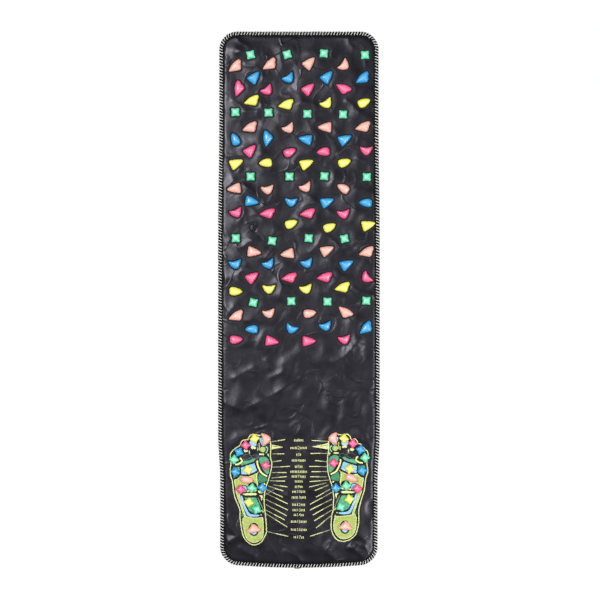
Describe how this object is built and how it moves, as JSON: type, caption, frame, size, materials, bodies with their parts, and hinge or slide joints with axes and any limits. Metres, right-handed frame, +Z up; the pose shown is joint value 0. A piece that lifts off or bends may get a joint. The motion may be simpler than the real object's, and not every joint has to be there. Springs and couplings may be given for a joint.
{
  "type": "foot massage mat",
  "caption": "Flat padded mat with rows of moulded massage stones, a printed foot chart with more stones and an overlocked edge; it folds double for storage.",
  "frame": {"origin": "centre of the object's box, on the surface that the mat lies on", "axes": "+X to the right seen from above with the foot chart nearest, +Y from the chart end to the far end, +Z up"},
  "size_m": [0.36, 1.2034, 0.015],
  "materials": {
    "pu_leather": "soft black PU leather with a low sheen and shallow crumples, printed at one end",
    "backing_cloth": "matt black non-woven backing cloth with pressed dimples",
    "foam": "dark grey foam sheet",
    "edge_thread": "overlocked off-white and black polyester thread",
    "stone_green": "satin moulded plastic",
    "stone_salmon": "satin moulded plastic",
    "stone_blue": "satin moulded plastic",
    "stone_pink": "satin moulded plastic",
    "stone_yellow": "satin moulded plastic"
  },
  "bodies": {
    "field": {"top_cover_field": "pu_leather", "padding_field": "foam", "bottom_cover_field": "backing_cloth", "edge_stitching_field": "edge_thread", "stone_row_01_green": "stone_green", "stone_row_02_salmon": "stone_salmon", "stone_row_03_blue": "stone_blue", "stone_row_04_pink": "stone_pink", "stone_row_05_yellow": "stone_yellow", "stone_row_06_green": "stone_green", "stone_row_07_salmon": "stone_salmon", "stone_row_08_blue": "stone_blue", "stone_row_09_pink": "stone_pink", "stone_row_10_yellow": "stone_yellow", "stone_row_11_green": "stone_green", "stone_row_12_salmon": "stone_salmon", "stone_row_13_blue": "stone_blue", "stone_row_14_pink": "stone_pink", "stone_row_15_yellow": "stone_yellow", "stone_row_16_green": "stone_green", "stone_row_17_salmon": "stone_salmon", "stone_row_18_blue": "stone_blue", "stone_row_19_pink": "stone_pink", "stone_row_20_yellow": "stone_yellow", "stone_row_21_green": "stone_green", "stone_row_22_salmon": "stone_salmon", "stone_row_23_blue": "stone_blue", "stone_row_24_pink": "stone_pink"},
    "fold_band": {"top_cover_fold": "pu_leather", "padding_fold": "foam", "bottom_cover_fold": "backing_cloth", "edge_stitching_fold_left": "edge_thread", "edge_stitching_fold_right": "edge_thread"},
    "chart_end": {"top_cover_chart": "pu_leather", "padding_chart": "foam", "bottom_cover_chart": "backing_cloth", "edge_stitching_chart": "edge_thread", "big_toe_stones": "stone_salmon", "heel_stones": "stone_salmon", "left_second_toe_and_ball_stones": "stone_yellow", "left_middle_toe_stone": "stone_pink", "left_outer_toe_and_ball_stones": "stone_blue", "left_little_toe_stone": "stone_green", "left_inner_ball_stone": "stone_pink", "left_sole_stone": "stone_salmon", "left_outer_arch_stone": "stone_pink", "left_arch_and_waist_stones": "stone_green", "left_inner_arch_stone": "stone_blue", "left_waist_stone": "stone_yellow", "right_second_toe_and_ball_stones": "stone_yellow", "right_middle_toe_stone": "stone_pink", "right_outer_toe_and_ball_stones": "stone_blue", "right_little_toe_stone": "stone_green", "right_inner_ball_stone": "stone_pink", "right_sole_stone": "stone_salmon", "right_outer_arch_stone": "stone_pink", "right_arch_and_waist_stones": "stone_green", "right_inner_arch_stone": "stone_blue", "right_waist_stone": "stone_yellow"}
  },
  "joints": [
    {"name": "fold_at_field", "type": "hinge", "parent": "field", "child": "fold_band", "pos_m": [0, -0.19, 0.0059], "axis": [-1, 0, 0], "range_deg": [0, 90]},
    {"name": "fold_at_chart", "type": "hinge", "parent": "fold_band", "child": "chart_end", "pos_m": [0, -0.21, 0.0059], "axis": [-1, 0, 0], "range_deg": [0, 90]}
  ]
}
